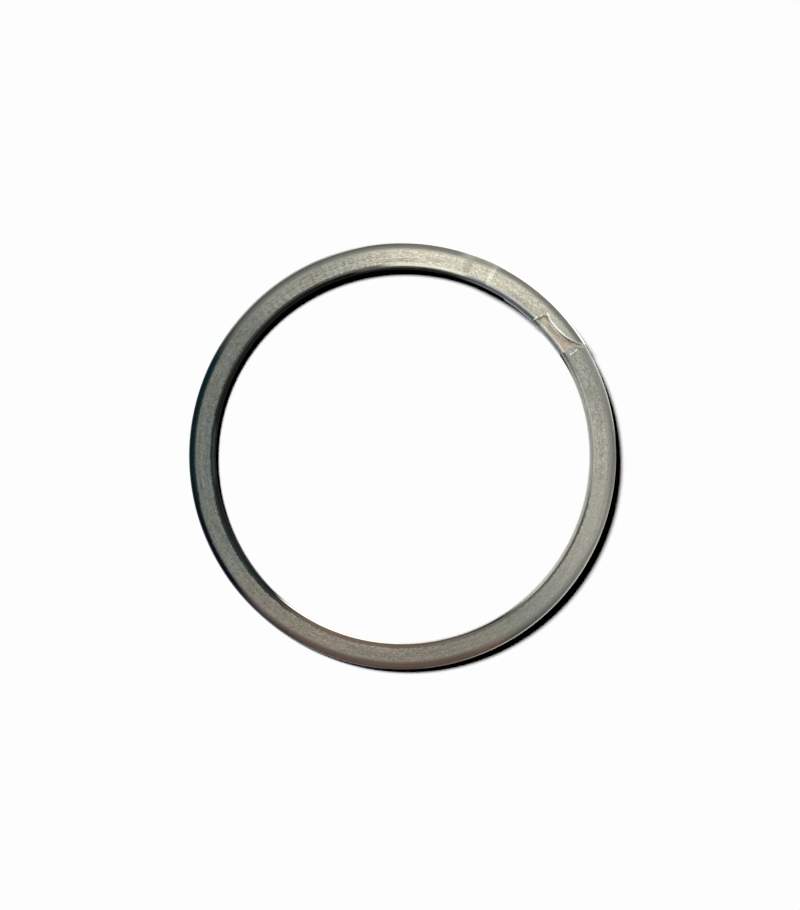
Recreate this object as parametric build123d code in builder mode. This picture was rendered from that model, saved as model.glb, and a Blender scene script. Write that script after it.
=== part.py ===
from build123d import *
from math import cos, radians, sin
import os

# Spiral retaining ring for a groove in a shaft: one flat spring wire, coiled on edge.
# It makes a full turn and laps over itself. Near each end the wire is offset along the
# axis, so that the ends pass one above the other while the long body stays flat.
# Lengths are in millimetres and angles in degrees. The axis of the ring is +Z, the
# origin is its centre at the body's mid-thickness, and the middle of the lap is on +X.

# Size of the coil and of the wire
bore_radius = 23.55
radial_wall = 3.35
wire_thickness = 0.95

# Rounded edges of the wire, as rolling a round wire flat leaves them
edge_round = 0.62
edge_land = 0.36

# Lap: each end reaches this far past the middle, and its offset bend lies this far on
# the other side of the middle
lap_half_angle = 20.2
bend_foot_angle = 20.1
bend_length_angle = 7.5
bend_rise = 0.475
tip_gap = 0.04

# Removal notch in the inner edge of each end, measured from the middle of the lap. It
# starts with a nearly radial wall and a small pocket for a screwdriver's blade. Then the
# tongue narrows along a large arc that reaches the outer edge at the tip.
notch_mouth_angle = 5.5
notch_wall_angle = 6.75
notch_wall_depth = 1.45
pocket_angle = 0.85
pocket_depth = 0.3
tongue_start_angle = 1.65
tongue_start_depth = 0.2
tongue_arc_radius = 6.6
tip_width = 0.15

outer_radius = bore_radius + radial_wall
mean_radius = bore_radius + radial_wall / 2
crest_angle = bend_foot_angle - bend_length_angle
tip_height = wire_thickness + tip_gap


def radial_plane(angle, height=0.0):
    """Plane through the axis at an angle: its x is the radius and its y is +Z."""
    outward = (cos(radians(angle)), sin(radians(angle)), 0)
    along = (sin(radians(angle)), -cos(radians(angle)), 0)
    return Plane(origin=(0, 0, height), x_dir=outward, z_dir=along)


def plan_point(angle, radius):
    """Point in the plan view at an angle before the middle of the lap."""
    return (radius * cos(radians(angle)), -radius * sin(radians(angle)))


def wire_section(plane):
    """Flat wire cut across: two flat faces, and edges rounded by arcs down to a narrow land."""
    half = wire_thickness / 2
    inner_flat = bore_radius + edge_round
    outer_flat = outer_radius - edge_round
    with BuildSketch(plane) as section:
        with BuildLine():
            top = Line((inner_flat, half), (outer_flat, half))
            outer_land = Line((outer_radius, edge_land / 2), (outer_radius, -edge_land / 2))
            bottom = Line((outer_flat, -half), (inner_flat, -half))
            inner_land = Line((bore_radius, -edge_land / 2), (bore_radius, edge_land / 2))
            TangentArc(top @ 1, outer_land @ 0, tangent=(1, 0))
            TangentArc(bottom @ 0, outer_land @ 1, tangent=(1, 0))
            TangentArc(bottom @ 1, inner_land @ 0, tangent=(-1, 0))
            TangentArc(top @ 0, inner_land @ 1, tangent=(-1, 0))
        make_face()
    return section.sketch


def sweep_slope(angle, turn, height, rise):
    """Sweeps the wire backwards from an angle, through a turn, as it rises at one pitch."""
    with BuildLine() as slope:
        helix = Helix(
            pitch=rise * 360 / turn,
            height=rise,
            radius=mean_radius,
            center=(0, 0, height),
            lefthand=True,
            mode=Mode.PRIVATE,
        )
        add(helix, rotation=(0, 0, angle))
    sweep(wire_section(radial_plane(angle, height)), path=slope.line, is_frenet=True)


# Upper end, from the flat body to the tip: the offset bend, then a tongue that climbs
# gently, because its tip rides on the foot of the other end's bend. The notch is cut
# through this end alone and leaves the wire below it whole.
with BuildPart() as upper_end:
    sweep_slope(bend_foot_angle, bend_length_angle, 0, bend_rise)
    sweep_slope(crest_angle, crest_angle + lap_half_angle, bend_rise, tip_height - bend_rise)
    with BuildSketch():
        with BuildLine():
            mouth = plan_point(notch_mouth_angle, bore_radius)
            wall_top = plan_point(notch_wall_angle, bore_radius + notch_wall_depth)
            pocket = plan_point(
                notch_wall_angle + pocket_angle,
                bore_radius + notch_wall_depth + pocket_depth,
            )
            tongue_start = plan_point(
                notch_wall_angle + tongue_start_angle,
                bore_radius + notch_wall_depth + tongue_start_depth,
            )
            tip = plan_point(lap_half_angle, outer_radius - tip_width)
            past_tip = plan_point(lap_half_angle, bore_radius - radial_wall)
            inside_bore = plan_point(notch_mouth_angle, bore_radius - radial_wall)
            Line(mouth, wall_top)
            ThreePointArc(wall_top, pocket, tongue_start)
            RadiusArc(tongue_start, tip, -tongue_arc_radius)
            Polyline(tip, past_tip, inside_bore, mouth)
        make_face()
    extrude(amount=tip_height + wire_thickness, mode=Mode.SUBTRACT)

# The whole ring: the flat body round the long way, and the same end at each side of the
# lap. Turned over about the middle of the lap, the upper end becomes the lower one.
with BuildPart() as retaining_ring:
    body_start = wire_section(radial_plane(bend_foot_angle))
    revolve(body_start, axis=Axis.Z, revolution_arc=360 - 2 * bend_foot_angle)
    add(upper_end.part)
    add(upper_end.part, rotation=(180, 0, 0))

retaining_ring.part.label = "retaining_ring"

os.makedirs("parts", exist_ok=True)
export_step(retaining_ring.part, "parts/retaining_ring.step")
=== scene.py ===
import math

import bpy
import numpy as np
from mathutils import Matrix, Vector


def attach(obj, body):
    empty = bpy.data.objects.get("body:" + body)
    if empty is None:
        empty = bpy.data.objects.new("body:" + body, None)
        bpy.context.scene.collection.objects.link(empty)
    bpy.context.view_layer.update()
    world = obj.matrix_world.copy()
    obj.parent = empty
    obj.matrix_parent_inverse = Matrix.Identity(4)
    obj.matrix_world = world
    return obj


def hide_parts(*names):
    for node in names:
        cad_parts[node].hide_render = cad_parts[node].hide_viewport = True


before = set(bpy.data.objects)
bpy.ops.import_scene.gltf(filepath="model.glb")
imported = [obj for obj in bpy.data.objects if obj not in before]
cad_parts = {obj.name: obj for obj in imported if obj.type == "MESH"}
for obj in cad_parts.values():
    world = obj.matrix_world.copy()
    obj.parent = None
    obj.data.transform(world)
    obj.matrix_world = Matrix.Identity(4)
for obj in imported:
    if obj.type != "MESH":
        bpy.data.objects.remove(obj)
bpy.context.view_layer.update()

# The ring is one flat spring-steel wire with rounded edges, coiled on edge for a turn and
# a lap. A bend near each end offsets it, so that the ends pass one above the other. Each
# end has a removal notch sheared out of its inner edge, which leaves a tapered tongue.
mm = 0.001
bore_radius = 23.55
outer_radius = 26.9
half_thickness = 0.475
edge_round = 0.62
edge_land = 0.36
corner_roll = 0.03


def edge_drop(reach):
    """How far an edge rounded by an arc has dropped, this far beyond the flat."""
    drop = half_thickness - edge_land / 2
    radius = (edge_round**2 + drop**2) / (2 * drop)
    return radius - np.sqrt(radius**2 - np.clip(reach, 0, edge_round) ** 2)


def corner_drop(reach):
    """How far the small rolled corner has dropped, this far from the end of the section."""
    inside = corner_roll - np.clip(reach, 0, corner_roll)
    return corner_roll - np.sqrt(corner_roll**2 - inside**2)


edge_steps, flat_steps, shoulder_steps = 10, 20, 14
least_edge = 0.14
least_shoulder_share = 0.35


def section_side(inner):
    """Radii and half heights across one side of the wire, from its inner limit outward."""
    flat_start = max(bore_radius + edge_round, inner + least_edge)
    flat_end = max(
        outer_radius - edge_round,
        flat_start + least_shoulder_share * (outer_radius - flat_start),
    )
    quarter = math.pi / 2
    edge_turns = quarter * np.arange(edge_steps) / edge_steps
    shoulder_turns = quarter * np.arange(shoulder_steps + 1) / shoulder_steps
    radii = np.concatenate(
        (
            inner + (flat_start - inner) * (1 - np.cos(edge_turns)),
            flat_start + (flat_end - flat_start) * np.arange(flat_steps) / flat_steps,
            flat_end + (outer_radius - flat_end) * np.sin(shoulder_turns),
        )
    )
    heights = (
        half_thickness
        - edge_drop(bore_radius + edge_round - radii)
        - edge_drop(radii - outer_radius + edge_round)
        - corner_drop(radii - inner)
        - corner_drop(outer_radius - radii)
    )
    return radii, heights


# Bends and tongues. Angles run along half of the wire, from the middle of the body, which
# is at 0, past the middle of the lap, at 180, to a tip.
lap_half_angle = 20.2
bend_foot = 180 - 20.1
bend_crest = 180 - 12.6
wire_end = 180 + lap_half_angle
bend_rise = 0.475
tip_height = 0.99
sharp_bend = 0.25
soft_bend = 2.3


def wire_heights(along, soft_foot, soft_crest):
    """Heights of the wire's middle: level, up the offset bend, then slowly up the tongue."""
    tongue_slope = (tip_height - bend_rise) / (wire_end - bend_crest)
    bend_slope = (bend_rise - tongue_slope * soft_crest / 2) / (
        bend_crest - bend_foot - (soft_foot + soft_crest) / 2
    )
    corners = (bend_foot, bend_foot + soft_foot, bend_crest - soft_crest, bend_crest)
    fine = np.linspace(0, wire_end, 40001)
    slopes = np.interp(fine, corners, (0, bend_slope, bend_slope, tongue_slope))
    climbed = np.concatenate(([0], np.cumsum((slopes[1:] + slopes[:-1]) / 2 * np.diff(fine))))
    return np.interp(along, fine, climbed)


def plan_point(angle, radius):
    """Point in the plan view, from an angle past the middle of the lap and a radius."""
    return radius * np.array((math.cos(math.radians(angle)), math.sin(math.radians(angle))))


def plan_arc_centre(start, end, radius, side):
    """Centre of an arc between plan points. Side 1 bulges outward, -1 inward."""
    chord = end - start
    normal = np.array((chord[1], -chord[0])) / np.linalg.norm(chord)
    back_off = math.sqrt(radius**2 - (np.linalg.norm(chord) / 2) ** 2)
    return (start + end) / 2 - side * normal * back_off


def plan_arc(start, end, radius, side, count=24):
    """Angles and radii along an arc between plan points."""
    centre = plan_arc_centre(start, end, radius, side)
    steps = [start + (end - start) * i / count - centre for i in range(count + 1)]
    points = [centre + step * radius / np.linalg.norm(step) for step in steps]
    return [(math.degrees(math.atan2(y, x)), math.hypot(x, y)) for x, y in points]


# Plan of the notch: a nearly radial wall, a small pocket for a screwdriver's blade, and a
# large arc along which the tongue narrows to its tip at the outer edge
notch_mouth_angle = 5.5
pocket_arc_radius = 0.46
tongue_arc_radius = 6.6
notch_wall_top = plan_point(6.75, 25.0)
tongue_start = plan_point(8.4, 25.2)
tongue_tip = plan_point(lap_half_angle, 26.75)
notch_plan = np.array(
    [(notch_mouth_angle, bore_radius)]
    + plan_arc(notch_wall_top, tongue_start, pocket_arc_radius, 1)
    + plan_arc(tongue_start, tongue_tip, tongue_arc_radius, -1)[1:]
)

# Shearing rolls up a low burr beside the cut, and the tool presses it flat near the tip, where the
# wire stands highest. A narrow band beside the cut is bare and bright, and its brightness is also
# a painted highlight, widest halfway down the tongue.
burr_height = 0.022
burr_place = 0.055
burr_width = 0.03
burr_ceiling = 0.97
bright_band = 0.05
band_widening = 0.15
widest_band_angle = 12
widening_reach = 4

# Where each stretch of half the wire ends and how far apart its sections stand
stretches = (
    (158.5, 0.75),
    (163.0, 0.1),
    (167.0, 0.25),
    (167.8, 0.05),
    (185.6, 0.5),
    (188.8, 0.05),
    (wire_end, 0.15),
)
half_stations = [0.0]
for stretch_end, spacing in stretches:
    count = math.ceil((stretch_end - half_stations[-1]) / spacing)
    half_stations += list(np.linspace(half_stations[-1], stretch_end, count + 1)[1:])
half_stations = np.array(half_stations)
upper_heights = wire_heights(half_stations, soft_bend, sharp_bend)
lower_heights = wire_heights(half_stations, sharp_bend, soft_bend)
stations = [(a, z, 1) for a, z in zip(half_stations[::-1], upper_heights[::-1])]
stations += [(a, -z, -1) for a, z in zip(half_stations[1:], lower_heights[1:])]

land_steps = np.array((1 / 3, -1 / 3))
wall_steps = np.array((-0.8, -0.4, 0.0, 0.4, 0.8))
land_count, wall_count = len(land_steps), len(wall_steps)
verts, wire_angles, shear_and_highlight_amounts = [], [], []
for along, middle, end in stations:
    past_middle = along - 180
    inner = float(np.interp(past_middle, notch_plan[:, 0], notch_plan[:, 1], left=bore_radius))
    radii, heights = section_side(inner)
    cut = min(1.0, (inner - bore_radius) / edge_round)
    raised = cut * min(burr_height, max(0.0, burr_ceiling - abs(middle)))
    burr = raised * np.exp(-(((radii - inner - burr_place) / burr_width) ** 2))
    loop_radii = np.concatenate(
        (radii, np.full(land_count, outer_radius), radii[::-1], np.full(wall_count, inner))
    )
    loop_heights = np.concatenate(
        (heights + burr, land_steps * heights[-1], -heights[::-1], wall_steps * heights[0])
    )
    from_widest = (past_middle - widest_band_angle) / widening_reach
    band = bright_band + band_widening * math.exp(-(from_widest**2))
    # Band beside the cut: bare shear that also carries a painted highlight
    edge_shear_and_highlight = cut * np.clip(1.5 - (radii - inner) / band, 0, 1)
    loop_shear_and_highlight = np.concatenate(
        (edge_shear_and_highlight, np.zeros(land_count), edge_shear_and_highlight[::-1], np.full(wall_count, cut))
    )
    wire_angle = 180 - end * along
    turn = math.radians(wire_angle)
    verts += [
        (r * math.cos(turn) * mm, r * math.sin(turn) * mm, (middle + z) * mm)
        for r, z in zip(loop_radii, loop_heights)
    ]
    wire_angles += [wire_angle] * len(loop_radii)
    shear_and_highlight_amounts += list(loop_shear_and_highlight)

loop_size = len(loop_radii)
faces = []
for row in range(len(stations) - 1):
    here, there = row * loop_size, (row + 1) * loop_size
    for i in range(loop_size):
        j = (i + 1) % loop_size
        faces.append((here + i, here + j, there + j, there + i))
faces.append(tuple(reversed(range(loop_size))))
faces.append(tuple(range(len(verts) - loop_size, len(verts))))

sharp_above = 38
ring_mesh = bpy.data.meshes.new("spring_wire_ring")
ring_mesh.from_pydata(verts, [], faces)
for name, values in (("wire_angle", wire_angles), ("shear_and_highlight", shear_and_highlight_amounts)):
    ring_mesh.attributes.new(name, "FLOAT", "POINT").data.foreach_set("value", values)
ring_mesh.polygons.foreach_set("use_smooth", [True] * len(faces))
ring_mesh.set_sharp_from_angle(angle=math.radians(sharp_above))
ring_mesh.update()
ring = bpy.data.objects.new("spring_wire_ring", ring_mesh)
bpy.context.scene.collection.objects.link(ring)


# Bare drawn spring steel: fine lines run along the wire, with a mottled grain under them.
# Its tones differ from stretch to stretch and between the flat, the rounded edges and the sides,
# with straw, brown and blue tints. Their lightness is mostly painted reflection and painted shade:
# lighter where the steel mirrors the room's lights, darker where it mirrors dark surroundings.
def new_group(name, inputs, outputs):
    """Empty shader node group with named sockets, as (group, its inputs, its outputs)."""
    group = bpy.data.node_groups.new(name, "ShaderNodeTree")
    for socket, kind, value in inputs:
        made = group.interface.new_socket(socket, in_out="INPUT", socket_type=kind)
        if value is not None:
            made.default_value = value
    for socket, kind in outputs:
        group.interface.new_socket(socket, in_out="OUTPUT", socket_type=kind)
    entry, result = group.nodes.new("NodeGroupInput"), group.nodes.new("NodeGroupOutput")
    return group, entry.outputs, result.inputs


def put(source, target):
    """Sets a socket to a value, or links another socket to it."""
    if isinstance(source, bpy.types.NodeSocket):
        target.id_data.links.new(source, target)
    else:
        target.default_value = source


def node_beside(kind, *values):
    """New node in the tree that the first socket among these values is in."""
    known = next(value for value in values if isinstance(value, bpy.types.NodeSocket))
    return known.id_data.nodes.new(kind)


def math_node(operation, *values):
    """Output of a math node with these inputs."""
    node = node_beside("ShaderNodeMath", *values)
    node.operation = operation
    for socket, value in zip(node.inputs, values):
        put(value, socket)
    return node.outputs[0]


def times(first, second):
    """Product of two values."""
    return math_node("MULTIPLY", first, second)


def plus(first, second):
    """Sum of two values."""
    return math_node("ADD", first, second)


def minus(first, second):
    """First value less the second."""
    return math_node("SUBTRACT", first, second)


def larger(first, second):
    """Larger of two values."""
    return math_node("MAXIMUM", first, second)


def vector_node(operation, vector, second=None):
    """Vector math node on a vector, with its second input set where it has one."""
    node = node_beside("ShaderNodeVectorMath", vector)
    node.operation = operation
    put(vector, node.inputs[0])
    if second is not None:
        put(second, node.inputs["Scale" if operation == "SCALE" else 1])
    return node.outputs


def fade(value, low, high, to_low=0.0, to_high=1.0):
    """Smooth step of a value from one range to another, clamped."""
    node = node_beside("ShaderNodeMapRange", value)
    node.interpolation_type = "SMOOTHSTEP"
    for socket, given in zip(node.inputs, (value, low, high, to_low, to_high)):
        put(given, socket)
    return node.outputs[0]


def split_up(vector):
    """The three values of a vector."""
    node = node_beside("ShaderNodeSeparateXYZ", vector)
    put(vector, node.inputs[0])
    return node.outputs


def combine(x, y, z):
    """Vector from three values."""
    node = node_beside("ShaderNodeCombineXYZ", x, y, z)
    for socket, value in zip(node.inputs, (x, y, z)):
        put(value, socket)
    return node.outputs[0]


def noise(vector, scale, detail=2.0, roughness=0.5):
    """Noise texture's value."""
    node = node_beside("ShaderNodeTexNoise", vector)
    put(vector, node.inputs["Vector"])
    node.inputs["Scale"].default_value = scale
    node.inputs["Detail"].default_value = detail
    node.inputs["Roughness"].default_value = roughness
    return node.outputs["Fac"]


def mix_colour(factor, first, second, blend="MIX"):
    """Mix node for colours; returns its output. A colour may be written as three values."""
    node = node_beside("ShaderNodeMix", factor, first, second)
    node.data_type = "RGBA"
    node.blend_type = blend
    put(factor, node.inputs[0])
    for colour, socket in ((first, node.inputs[6]), (second, node.inputs[7])):
        put((*colour, 1.0) if isinstance(colour, tuple) else colour, socket)
    return node.outputs[2]


def use_group(group, **values):
    """Group node with its inputs set or linked; returns its outputs."""
    node = node_beside("ShaderNodeGroup", *values.values())
    node.node_tree = group
    for name, value in values.items():
        put(value, node.inputs[name.replace("_", " ")])
    return node.outputs


number, vector_kind = "NodeSocketFloat", "NodeSocketVector"

# Place on the wire: how far along it, in millimetres, and how far from the axis
along_degree = math.radians((bore_radius + outer_radius) / 2)
place_group, ins, outs = new_group(
    "place_on_wire",
    [("Position", vector_kind, None), ("Wire Angle", number, 0.0)],
    [
        ("Along", number),
        ("Radius", number),
        ("Along and Across", vector_kind),
        ("Flat", vector_kind),
    ],
)
x, y, z = split_up(ins["Position"])
flat_mm = vector_node("SCALE", combine(x, y, 0.0), 1 / mm)["Vector"]
from_axis = vector_node("LENGTH", flat_mm)["Value"]
along_mm = times(ins["Wire Angle"], along_degree)
put(along_mm, outs["Along"])
put(from_axis, outs["Radius"])
put(combine(along_mm, from_axis, math_node("DIVIDE", z, mm)), outs["Along and Across"])
put(flat_mm, outs["Flat"])

# Lines that the drawing die leaves along the wire
drawn_group, ins, outs = new_group(
    "drawn_lines",
    [("Place", vector_kind, None), ("Lines per mm", number, 4.0), ("Length", number, 12.0)],
    [("Value", number)],
)
along, radius, height = split_up(ins["Place"])
streak_place = combine(
    math_node("DIVIDE", along, ins["Length"]),
    times(radius, ins["Lines per mm"]),
    times(height, ins["Lines per mm"]),
)
put(noise(streak_place, 1.0, 3.0, 0.6), outs["Value"])

# A stretch of the wire, whole within one reach of its middle and gone beyond another
stretch_group, ins, outs = new_group(
    "stretch_of_wire",
    [
        ("Wire Angle", number, 0.0),
        ("At", number, 0.0),
        ("Whole", number, 5.0),
        ("Faded", number, 10.0),
    ],
    [("Mask", number)],
)
away = math_node("ABSOLUTE", minus(ins["Wire Angle"], ins["At"]))
put(fade(away, ins["Faded"], ins["Whole"]), outs["Mask"])

# A small mark at one place: a nick, a smear or a row of dots
mark_group, ins, outs = new_group(
    "small_mark",
    [
        ("Along", number, 0.0),
        ("Radius", number, 0.0),
        ("At Along", number, 0.0),
        ("At Radius", number, 0.0),
        ("Half Length", number, 1.0),
        ("Half Width", number, 0.1),
    ],
    [("Mask", number)],
)
off_along = math_node("DIVIDE", minus(ins["Along"], ins["At Along"]), ins["Half Length"])
off_across = math_node("DIVIDE", minus(ins["Radius"], ins["At Radius"]), ins["Half Width"])
off_squared = plus(times(off_along, off_along), times(off_across, off_across))
put(fade(math_node("SQRT", off_squared), 1.0, 0.3), outs["Mask"])

steel = bpy.data.materials.new("drawn_spring_steel")
steel.use_nodes = True
steel_nodes = steel.node_tree.nodes
bsdf = steel_nodes["Principled BSDF"]
bsdf.inputs["Anisotropic"].default_value = 0.55
bsdf.inputs["Anisotropic Rotation"].default_value = 0.25
bsdf.inputs["Specular Tint"].default_value = (0.8, 0.8, 0.8, 1.0)
tangent = steel_nodes.new("ShaderNodeTangent")
tangent.direction_type = "RADIAL"
tangent.axis = "Z"
put(tangent.outputs[0], bsdf.inputs["Tangent"])
angle_attribute = steel_nodes.new("ShaderNodeAttribute")
angle_attribute.attribute_name = "wire_angle"
wire_angle = angle_attribute.outputs["Fac"]
# Mask of the bare shear, which is brightened further as a painted highlight
shear_attribute = steel_nodes.new("ShaderNodeAttribute")
shear_attribute.attribute_name = "shear_and_highlight"
shear_and_highlight = shear_attribute.outputs["Fac"]
position = steel_nodes.new("ShaderNodeTexCoord").outputs["Object"]
place = use_group(place_group, Position=position, Wire_Angle=wire_angle)
radius = place["Radius"]
along_across = place["Along and Across"]


def stretch(at, whole, faded):
    """Mask of a stretch of the wire, by its angles."""
    return use_group(stretch_group, Wire_Angle=wire_angle, At=at, Whole=whole, Faded=faded)["Mask"]


def mark(at_angle, at_radius, half_length, half_width):
    """Mask of a small mark, by its angle along the wire, its radius and its size."""
    return use_group(
        mark_group,
        Along=place["Along"],
        Radius=radius,
        At_Along=at_angle * along_degree,
        At_Radius=at_radius,
        Half_Length=half_length,
        Half_Width=half_width,
    )["Mask"]


def with_tints_and_reflections(tone, tone_stretches):
    """Tone with stretches of other tones over it, which are tints, painted reflection and painted
    shade: each has a place along the wire, two reaches and a colour.
    """
    for at, whole, faded, colour in tone_stretches:
        tone = mix_colour(stretch(at, whole, faded), tone, colour)
    return tone


fine_lines = use_group(drawn_group, Place=along_across, Lines_per_mm=5.0, Length=9.0)["Value"]
broad_lines = use_group(drawn_group, Place=along_across, Lines_per_mm=1.6, Length=26.0)["Value"]
lines = plus(times(fine_lines, 0.6), times(broad_lines, 0.4))
drawn_out = vector_node("MULTIPLY", along_across, (0.5, 1.0, 1.0))["Vector"]
grain = noise(drawn_out, 3.0, 4.0, 0.7)
speckle = noise(drawn_out, 7.0, 2.0, 0.7)
lower_end = fade(wire_angle, 340.9, 341.3)

# The flat, toned as painted reflection: lighter near wire angles 24 and 303, where it mirrors the
# room's lights, palest on the upper bend's facet near 15.4, which the bend tilts toward them, and
# tan on the lower end
flat_tone = with_tints_and_reflections(
    (0.25, 0.265, 0.245),
    (
        (120, 25, 60, (0.24, 0.265, 0.25)),
        (208, 25, 50, (0.27, 0.25, 0.22)),
        (303, 12, 55, (0.48, 0.475, 0.44)),
        (329, 3, 11, (0.37, 0.38, 0.35)),
        (68, 8, 22, (0.33, 0.34, 0.31)),
        (-12, 8, 25, (0.43, 0.44, 0.40)),
        (24, 12, 42, (0.64, 0.62, 0.55)),
        (15.4, 2.6, 3.5, (0.98, 0.95, 0.83)),
    ),
)
flat_tone = mix_colour(lower_end, flat_tone, (0.44, 0.405, 0.345))

# The rounded outer edge, darker than the flat as painted shade, since it mirrors the darker room,
# and paler near wire angle 16.4 on the upper bend as painted highlight; a brown stretch is darkest
# before the side
outer_tone = with_tints_and_reflections(
    (0.145, 0.15, 0.145),
    (
        (216, 24, 38, (0.265, 0.18, 0.157)),
        (178, 6, 16, (0.125, 0.108, 0.118)),
        (305, 25, 55, (0.27, 0.27, 0.26)),
        (16.4, 3, 7, (0.30, 0.31, 0.29)),
    ),
)
brown = stretch(213, 20, 40)
brown_first = times(brown, fade(radius, 26.62, 26.3))
outer_tone = mix_colour(brown_first, outer_tone, (0.105, 0.074, 0.063))

# The rounded inner edge: pale as painted highlight near wire angles 30 and 316 and on the lower
# end, and near black as painted shade near 85 and 132
inner_tone = with_tints_and_reflections(
    (0.13, 0.13, 0.12),
    (
        (132, 42, 72, (0.014, 0.027, 0.030)),
        (205, 15, 30, (0.12, 0.09, 0.075)),
        (0, 18, 24, (0.56, 0.62, 0.66)),
        (30, 9, 17, (0.80, 0.80, 0.74)),
        (316, 8, 27, (0.56, 0.58, 0.54)),
        (85, 14, 30, (0.045, 0.055, 0.05)),
    ),
)
inner_tone = mix_colour(lower_end, inner_tone, (0.78, 0.76, 0.69))

# Where the flat ends isn't quite even: the grain makes it waver
wavering = plus(radius, plus(times(minus(grain, 0.5), 0.3), times(minus(speckle, 0.5), 0.35)))
late_stretch = stretch(162, 16, 24)
past_flat = fade(plus(wavering, times(brown, 0.12)), 25.75, 26.4)
before_flat = fade(minus(wavering, times(late_stretch, 0.07)), 24.36, 24.1)
steel_tone = mix_colour(past_flat, flat_tone, outer_tone)
steel_tone = mix_colour(before_flat, steel_tone, inner_tone)
pale_patch = mark(290, 26.13, 14 * along_degree, 0.42)
steel_tone = mix_colour(pale_patch, steel_tone, (0.42, 0.42, 0.39))

# Near-black blue band on the outer edge round wire angle 133: painted reflection of dark
# surroundings in the rounded edge
navy_reach = minus(wavering, times(late_stretch, 0.13))
navy = times(stretch(133, 31, 44), fade(navy_reach, 26.0, 26.22))
navy_tone = with_tints_and_reflections((0.002, 0.009, 0.021), ((112, 16, 42, (0.009, 0.031, 0.039)),))
steel_tone = mix_colour(navy, steel_tone, navy_tone)

# Broad patches, a little warmer or cooler than the rest
mottle = noise(along_across, 0.5, 3.0, 0.6)
steel_tone = mix_colour(fade(mottle, 0.5, 0.64), steel_tone, (1.0, 0.97, 0.93), "MULTIPLY")
steel_tone = mix_colour(fade(mottle, 0.5, 0.36), steel_tone, (0.975, 1.0, 0.99), "MULTIPLY")

# The outer side and its rim, which is wider on two stretches and narrower on one. Its tone is
# painted reflection: near white where the steep side mirrors the lit table, along the upper end
# and near wire angle 328, paler near 72 and 272, and near black round 136.
rim_tone = with_tints_and_reflections(
    (0.25, 0.24, 0.22),
    (
        (72, 14, 32, (0.55, 0.56, 0.52)),
        (136, 32, 45, (0.05, 0.09, 0.10)),
        (166, 12, 24, (0.30, 0.31, 0.35)),
        (15, 36, 52, (1.0, 0.98, 0.92)),
        (272, 24, 44, (0.62, 0.60, 0.53)),
        (328, 10, 17, (1.0, 0.98, 0.92)),
        (218, 3, 8, (0.11, 0.09, 0.08)),
    ),
)
rim_reach = plus(radius, times(stretch(-8, 16, 22), 0.06))
rim_reach = minus(rim_reach, times(stretch(316, 26, 34), 0.055))
rim_reach = plus(rim_reach, times(stretch(72, 16, 28), 0.08))
steel_tone = mix_colour(fade(rim_reach, 26.73, 26.82), steel_tone, rim_tone)

# The steepest part of the inner edge, and inside it the lip of the bore. Their tones are painted
# light: near black as painted shade that runs into the shadow on the table, near white as painted
# reflection of the lit table near wire angles 257 and 300, and a blue-grey painted reflection on
# the lower end.
mouth_tone = with_tints_and_reflections(
    (0.005, 0.005, 0.005),
    (
        (0, 15, 42, (0.26, 0.28, 0.28)),
        (62, 6, 20, (0.008, 0.008, 0.007)),
        (42, 7, 13, (0.20, 0.20, 0.18)),
        (128, 5, 11, (0.058, 0.066, 0.062)),
        (214, 20, 42, (0.12, 0.09, 0.08)),
        (300, 34, 52, (1.0, 0.98, 0.90)),
    ),
)
mouth_tone = mix_colour(lower_end, mouth_tone, (0.50, 0.54, 0.56))
steel_tone = mix_colour(fade(radius, 23.98, 23.84), steel_tone, mouth_tone)
lip_tone = with_tints_and_reflections(
    (0.004, 0.004, 0.004),
    ((257, 74, 82, (1.0, 0.98, 0.92)), (0, 12, 24, (0.26, 0.28, 0.28))),
)
lip_tone = mix_colour(lower_end, lip_tone, (0.50, 0.54, 0.56))
steel_tone = mix_colour(fade(radius, 23.74, 23.66), steel_tone, lip_tone)

# Lines, grain and dark flecks, as factors of the tone, and chatter across the wire beyond
# the upper bend
line_light = fade(lines, 0.3, 0.7, 0.76, 1.12)
grain_light = fade(grain, 0.32, 0.68, 0.84, 1.12)
speckle_light = fade(speckle, 0.33, 0.67, 0.70, 1.27)
lightness = times(times(line_light, grain_light), speckle_light)
flecks = noise(along_across, 4.0, 1.0, 0.5)
lightness = times(lightness, fade(flecks, 0.62, 0.72, 1.0, 0.72))
chatter = steel_nodes.new("ShaderNodeTexWave")
put(along_across, chatter.inputs["Vector"])
chatter.inputs["Scale"].default_value = 0.36
chatter.inputs["Distortion"].default_value = 2.5
chatter.inputs["Detail"].default_value = 2.0
chattered = times(stretch(66, 14, 24), fade(radius, 26.0, 25.0))
chatter_light = times(chattered, fade(chatter.outputs["Fac"], 0, 1, -0.09, 0.10))
lightness = times(lightness, plus(1.0, chatter_light))

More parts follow.
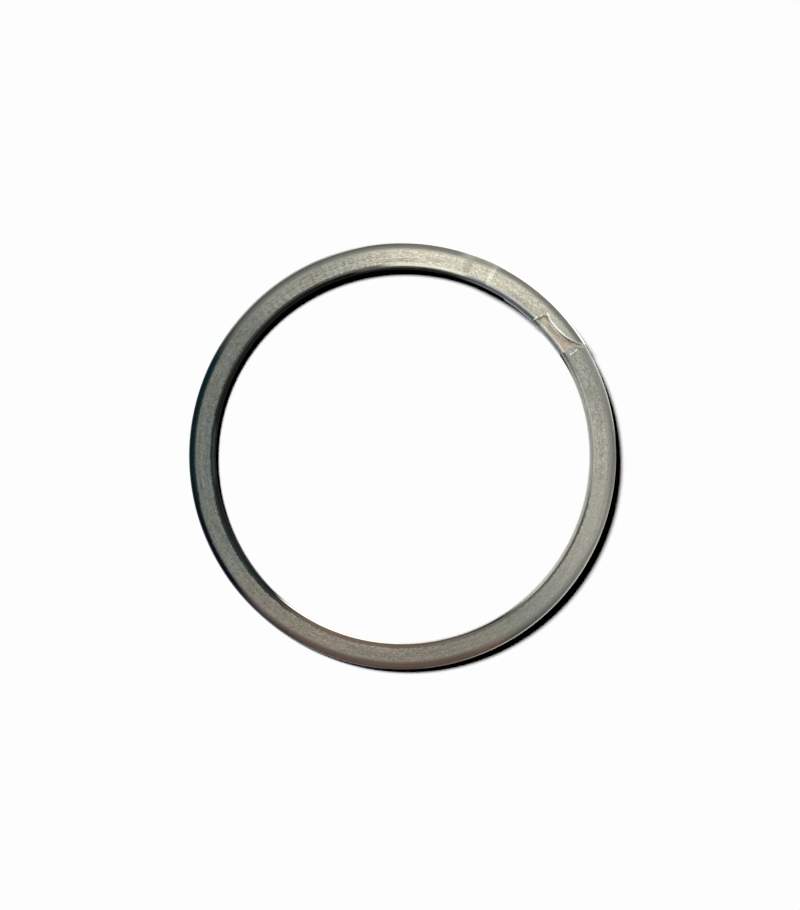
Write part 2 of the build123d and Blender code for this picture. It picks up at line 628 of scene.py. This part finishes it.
# The foot of the upper bend and two thin lines at its creases, darkened as painted shade in the
# concave crease, then scratches that the coiling left. Each has an angle along the wire, a radius,
# half its length and width, and the light that it leaves.
for *at, light_left in (
    (19.6, 25.3, 0.75, 1.9, 0.70),
    (18.2, 25.5, 0.07, 0.9, 0.55),
    (20.9, 25.4, 0.08, 0.8, 0.60),
    (0, 24.5, 5.5, 0.5, 0.74),
    (39, 24.55, 4.5, 0.4, 0.76),
    (36, 24.78, 6.5, 0.07, 0.50),
    (42, 24.55, 5.0, 0.05, 0.52),
    (26, 25.02, 4.5, 0.06, 0.50),
    (22, 24.62, 2.5, 0.05, 0.50),
    (38, 25.35, 4.0, 0.05, 0.62),
    (44, 25.15, 3.5, 0.06, 0.62),
    (30, 25.75, 5.0, 0.07, 0.80),
    (-3, 24.75, 7.0, 0.08, 0.85),
    (215, 25.22, 8.0, 0.06, 0.58),
    (232, 25.42, 6.0, 0.06, 0.60),
    (207, 24.85, 5.0, 0.08, 0.80),
    (151, 25.1, 9.0, 0.07, 0.82),
    (127, 25.5, 8.0, 0.08, 0.84),
    (86.5, 25.2, 0.09, 1.0, 0.75),
    (90.5, 25.0, 0.10, 0.8, 0.78),
    (179.0, 25.0, 0.08, 0.7, 0.75),
    (186.0, 25.3, 0.45, 0.25, 0.80),
):
    broken = times(mark(*at), fade(grain, 0.3, 0.6))
    lightness = times(lightness, fade(broken, 0.0, 1.0, 1.0, light_left))

# All of these are fainter on the rounded edges, on one even stretch and on the lower end
even = times(larger(past_flat, before_flat), 0.75)
even = larger(even, times(stretch(270, 22, 46), 0.45))
even = larger(even, times(lower_end, 0.5))
lightness = plus(times(lightness, minus(1.0, even)), even)
lightness = times(lightness, 0.93)
light_colour = combine(lightness, lightness, lightness)
steel_colour = mix_colour(1.0, steel_tone, light_colour, "MULTIPLY")

# Painted light on the wire below the bright shear, in the notch's pocket, beside its arc and under
# the tip of the tongue, which lifts the shade and shadow that the tongue casts there
arc_centre = plan_arc_centre(tongue_start, tongue_tip, tongue_arc_radius, -1)
from_arc = vector_node("DISTANCE", place["Flat"], (arc_centre[0], -arc_centre[1], 0.0))["Value"]
beside_notch = times(lower_end, fade(from_arc, 6.92, 6.68))
under_tip = times(mark(342.4, 26.15, 2.4, 0.7), fade(from_arc, 7.05, 6.85))
in_pocket = larger(mark(352.3, 25.1, 1.1, 1.0), under_tip)
steel_colour = mix_colour(beside_notch, steel_colour, (0.60, 0.55, 0.48))
steel_colour = mix_colour(in_pocket, steel_colour, (0.66, 0.60, 0.53))
steel_colour = mix_colour(under_tip, steel_colour, (0.72, 0.70, 0.63))

# Bright spots: the shear of the notches, bare metal with a painted highlight, painted highlights
# along the notch's wall and pocket and on the creases of the two bends, and nicks
bright = shear_and_highlight
for at in (
    (11.9, 25.25, 0.08, 1.5),
    (-5.6, 24.05, 0.08, 0.6),
    (-6.3, 24.75, 0.08, 0.5),
    (-7.4, 25.5, 0.4, 0.09),
    (339.6, 24.9, 0.10, 0.55),
    (339.7, 25.55, 0.11, 0.35),
):
    bright = larger(bright, times(mark(*at), fade(speckle, 0.32, 0.50)))
warm_spot = times(mark(307.5, 25.3, 0.5, 0.25), fade(speckle, 0.4, 0.6))
steel_colour = mix_colour(warm_spot, steel_colour, (0.66, 0.52, 0.46))
steel_colour = mix_colour(bright, steel_colour, (0.98, 0.95, 0.86))
put(steel_colour, bsdf.inputs["Base Color"])

# A thin film of oil keeps the steel from being a clean mirror, and fresh shear is matt
matt = times(beside_notch, fade(in_pocket, 0.0, 0.5, 0.7, 0.0))
bare = minus(1.0, larger(bright, matt))
put(times(bare, 0.8), bsdf.inputs["Metallic"])
roughness = plus(fade(grain, 0.3, 0.7, 0.30, 0.40), times(shear_and_highlight, 0.2))
put(roughness, bsdf.inputs["Roughness"])
bump = steel_nodes.new("ShaderNodeBump")
bump.inputs["Strength"].default_value = 0.25
bump.inputs["Distance"].default_value = 0.004 * mm
put(plus(lines, times(grain, 0.7)), bump.inputs["Height"])
put(bump.outputs[0], bsdf.inputs["Normal"])
ring_mesh.materials.append(steel)
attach(ring, "root")
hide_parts("retaining_ring")
ring.visible_diffuse = False

# Pale table that the ring lies on. The ring rests on the tip of its lower end and on the
# far side of its body, so its axis leans by a degree; here the table leans instead, as
# far as it takes to touch the ring on both sides.
lean_towards = math.radians(136.4)
points = np.array(verts)
reach = points[:, 0] * math.cos(lean_towards) + points[:, 1] * math.sin(lean_towards)
level, steep = 0.0, 0.1
for _ in range(40):
    slope = (level + steep) / 2
    clearance = points[:, 2] - slope * reach
    if clearance[reach < 0].min() < clearance[reach > 0].min():
        level = slope
    else:
        steep = slope
table_height = clearance.min()
table_half = 3.0
corners = [(x * table_half, y * table_half, 0) for x, y in ((-1, -1), (1, -1), (1, 1), (-1, 1))]
table_mesh = bpy.data.meshes.new("table_top")
table_mesh.from_pydata(corners, [], [(0, 1, 2, 3)])
table = bpy.data.objects.new("table_top", table_mesh)
bpy.context.scene.collection.objects.link(table)
table_normal = Vector((-slope * math.cos(lean_towards), -slope * math.sin(lean_towards), 1))
table_turn = table_normal.normalized().to_track_quat("Z", "Y").to_matrix().to_4x4()
table.matrix_world = Matrix.Translation((0, 0, table_height)) @ table_turn
table_paint = bpy.data.materials.new("white_table")
table_paint.use_nodes = True
table_bsdf = table_paint.node_tree.nodes["Principled BSDF"]
table_bsdf.inputs["Base Color"].default_value = (0.93, 0.93, 0.93, 1.0)
table_bsdf.inputs["Roughness"].default_value = 0.9
table_bsdf.inputs["Specular IOR Level"].default_value = 0.0
table_mesh.materials.append(table_paint)

# Soft key light from the upper left of the photograph, which throws the short dark shadow.
# Directions round the ring are given as in the photograph, from its right hand side.
photo_turn = 51.6


def photo_direction(azimuth, elevation):
    """Unit vector towards a place seen from the ring, with its azimuth as in the photo."""
    turn, lift = math.radians(azimuth - photo_turn), math.radians(elevation)
    level_part = math.cos(lift)
    return Vector((math.cos(turn) * level_part, math.sin(turn) * level_part, math.sin(lift)))


key_data = bpy.data.lights.new("key_light", "SUN")
key_data.energy = 4.12
key_data.angle = math.radians(13)
key = bpy.data.objects.new("key_light", key_data)
key.rotation_euler = photo_direction(134, 54.5).to_track_quat("Z", "Y").to_euler()
key.visible_glossy = False
bpy.context.scene.collection.objects.link(key)

# Studio round the table, as the steel mirrors it: a grey room with soft boxes and cards.
# The camera sees it white, and it throws no light of its own on the table.
world = bpy.data.worlds.new("studio")
world.use_nodes = True
bpy.context.scene.world = world
studio_nodes = world.node_tree.nodes
studio_nodes.clear()
direction = studio_nodes.new("ShaderNodeTexCoord").outputs["Generated"]


def soft_patch(azimuth, elevation, full, faded):
    """Mask of a round patch of the room, whole within one angle and gone beyond another."""
    nearness = vector_node("DOT_PRODUCT", direction, tuple(photo_direction(azimuth, elevation)))
    return fade(nearness["Value"], math.cos(math.radians(faded)), math.cos(math.radians(full)))


room = (0.34, 0.34, 0.32)
for azimuth, elevation, full, faded, colour in (
    (190, 38, 18, 52, (0.04, 0.06, 0.07)),
    (262, 42, 14, 46, (0.17, 0.12, 0.10)),
    (350, 68, 4, 24, (0.8, 0.8, 0.72)),
    (78, 68, 4, 25, (2.2, 2.15, 1.95)),
    (262, 73, 3, 15, (2.0, 1.95, 1.75)),
    (330, 8, 12, 38, (1.5, 1.45, 1.3)),
    (50, 6, 26, 50, (2.3, 2.25, 2.1)),
):
    room = mix_colour(soft_patch(azimuth, elevation, full, faded), room, colour)
path = studio_nodes.new("ShaderNodeLightPath").outputs
mirrored = studio_nodes.new("ShaderNodeBackground")
put(room, mirrored.inputs["Color"])
plain = studio_nodes.new("ShaderNodeBackground")
plain.inputs["Color"].default_value = (1, 1, 1, 1)
put(path["Is Camera Ray"], plain.inputs["Strength"])
either = studio_nodes.new("ShaderNodeMixShader")
put(path["Is Glossy Ray"], either.inputs[0])
put(plain.outputs[0], either.inputs[1])
put(mirrored.outputs[0], either.inputs[2])
put(either.outputs[0], studio_nodes.new("ShaderNodeOutputWorld").inputs["Surface"])

# Camera straight above the ring, turned as the photograph is
camera_distance = 0.25
pixels_per_metre = 7931
photo_height = 910
sensor_height = 24
aim_right, aim_up = -0.32, 0.11
camera_data = bpy.data.cameras.new("camera")
camera_data.sensor_fit = "VERTICAL"
camera_data.sensor_height = sensor_height
camera_data.lens = pixels_per_metre * camera_distance * sensor_height / photo_height
camera_data.clip_start = 0.01
camera = bpy.data.objects.new("camera", camera_data)
bpy.context.scene.collection.objects.link(camera)
back = Vector((0, 0, 1))
up = photo_direction(90, 0)
right = up.cross(back)
camera_place = right * aim_right * mm + up * aim_up * mm + back * camera_distance
camera_turn = Matrix((right, up, back)).transposed().to_4x4()
camera.matrix_world = Matrix.Translation(camera_place) @ camera_turn
bpy.context.scene.camera = camera

bpy.context.scene.view_settings.view_transform = "Standard"
